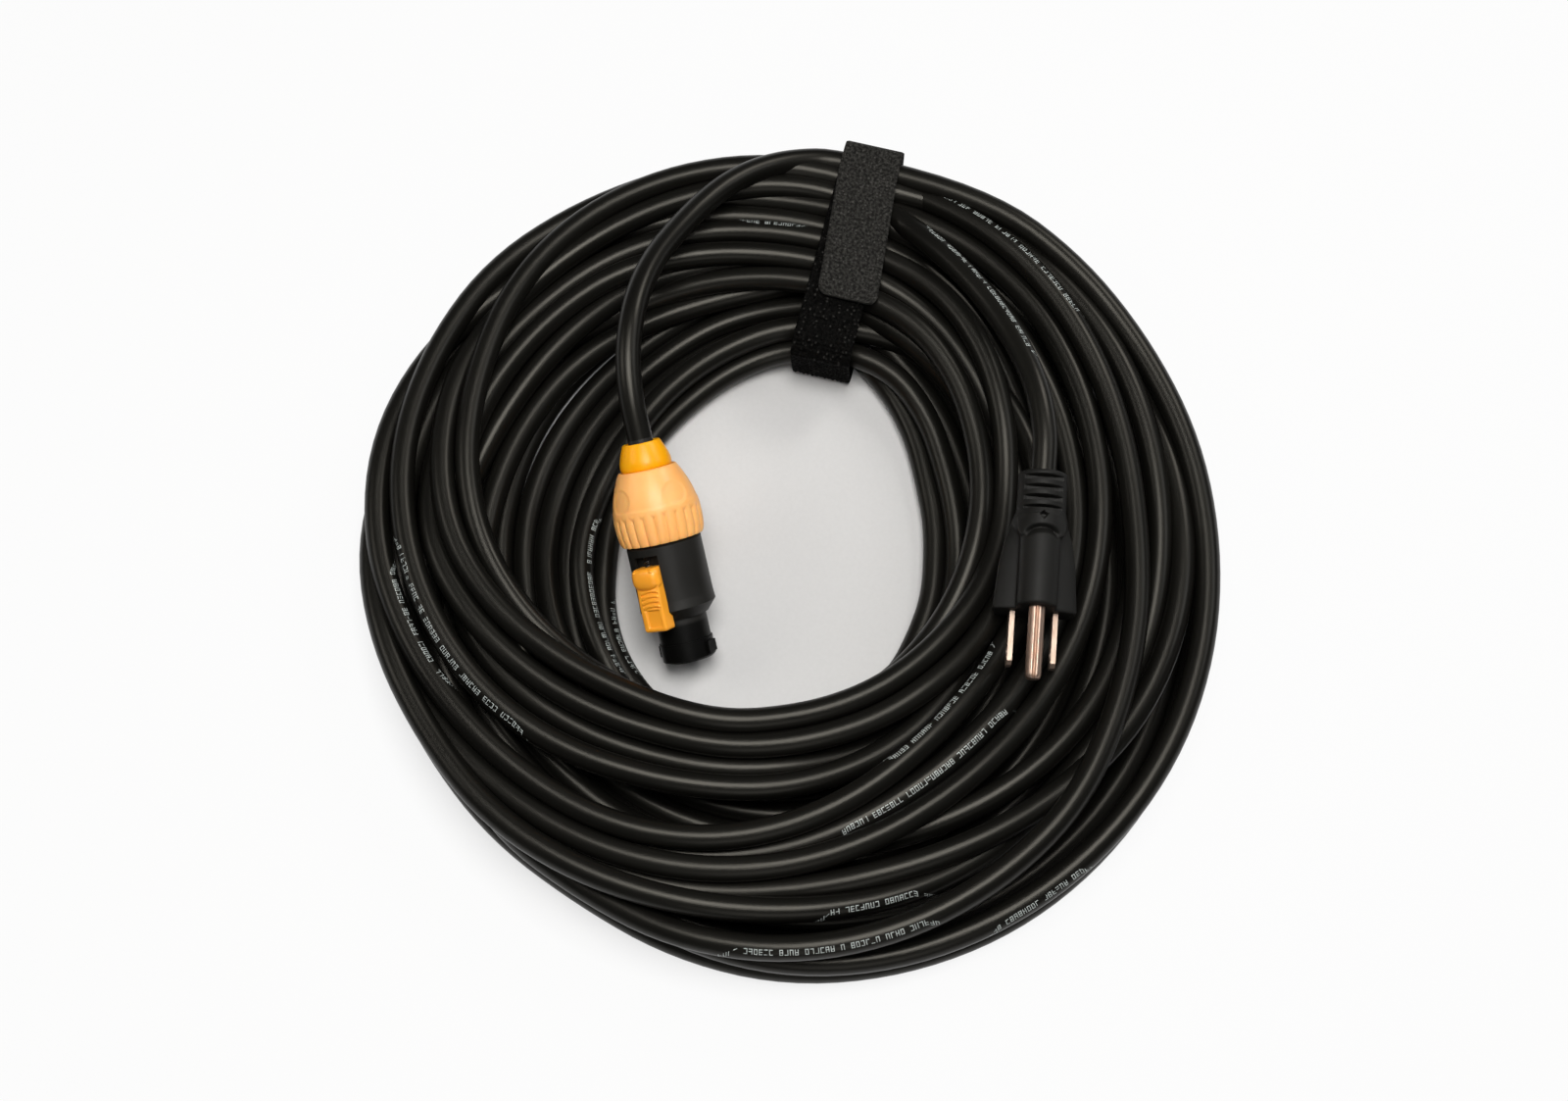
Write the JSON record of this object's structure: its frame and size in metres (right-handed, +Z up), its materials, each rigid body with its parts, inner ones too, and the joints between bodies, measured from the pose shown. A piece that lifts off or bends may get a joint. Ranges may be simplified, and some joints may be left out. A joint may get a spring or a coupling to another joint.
{
  "type": "coiled power extension cable",
  "caption": "Long black round mains cable in a flat coil tied with a hook-and-loop strap, with a locking inline connector on one end and a grounded wall plug on the other.",
  "frame": {"origin": "centre of the overall box, on the floor that the coil lies on", "axes": "+Z up from the floor, +Y towards the strap, +X towards the wall plug's side of the coil"},
  "size_m": [0.2586, 0.2648, 0.0527],
  "materials": {
    "cable_jacket": "satin black PVC cable jacket",
    "orange_shell": "pale orange moulded plastic, satin",
    "amber_collar": "deeper yellow orange moulded plastic, satin",
    "latch_orange": "orange moulded plastic, satin",
    "black_plastic": "matt black moulded plastic",
    "plug_vinyl": "matt black moulded vinyl",
    "grey_plastic": "grey moulded plastic, inside",
    "strap_webbing": "black woven hook-and-loop tape",
    "prong_metal": "nickel-plated brass, worn coppery at the edges",
    "contact_metal": "bright brass",
    "steel": "bright steel",
    "seal_rubber": "black seal rubber",
    "core_brown": "black insulated conductor",
    "core_white": "white insulated conductor",
    "core_green": "green insulated conductor"
  },
  "bodies": {
    "cable": {"cable_coil": "cable_jacket", "connector_lead": "cable_jacket", "plug_lead": "cable_jacket", "connector_cable_end": "cable_jacket", "plug_cable_end": "cable_jacket", "strap_band": "strap_webbing", "connector_housing": "black_plastic", "nut_oring": "seal_rubber", "contact_insert": "black_plastic", "contact_live": "contact_metal", "contact_neutral": "contact_metal", "contact_earth": "contact_metal", "terminal_screws": "steel", "connector_core_live": "core_brown", "connector_core_neutral": "core_white", "connector_core_earth": "core_green", "latch_spring": "steel", "plug_body": "plug_vinyl", "plug_inner_block": "grey_plastic", "blade_neutral": "prong_metal", "blade_live": "prong_metal", "earth_pin": "prong_metal", "plug_crimps": "contact_metal", "plug_core_neutral": "core_white", "plug_core_live": "core_brown", "plug_core_earth": "core_green"},
    "clamp": {"clamp_collet": "grey_plastic", "gland_seal": "seal_rubber"},
    "nut": {"rear_nut": "orange_shell", "tail_collar": "amber_collar"},
    "latch": {"latch": "latch_orange"},
    "strap_tab": {"strap_tab": "strap_webbing"}
  },
  "joints": [
    {"name": "nut_turn", "type": "hinge", "parent": "clamp", "child": "nut", "pos_m": [-0.0433, 0.0211, 0.038], "axis": [-0.2145, 0.8612, 0.4608], "range_deg": [0, 721]},
    {"name": "clamp_slide", "type": "slide", "parent": "cable", "child": "clamp", "axis": [-0.2145, 0.8612, 0.4608], "range_m": [0, 0.003]},
    {"name": "latch_slide", "type": "slide", "parent": "cable", "child": "latch", "axis": [-0.2145, 0.8612, 0.4608], "range_m": [0, 0.003], "stiffness_N_per_m": 300, "springref_m": -0.003, "deforming": ["latch_spring"]},
    {"name": "strap_peel", "type": "hinge", "parent": "cable", "child": "strap_tab", "pos_m": [0.02625, 0.12044, 0.0262], "axis": [-0.9698, 0.2439, 0], "range_deg": [0, 95]}
  ],
  "couplings": [
    {"joint": "nut_turn", "follows": "clamp_slide", "rad_per_m": 4188.8}
  ]
}
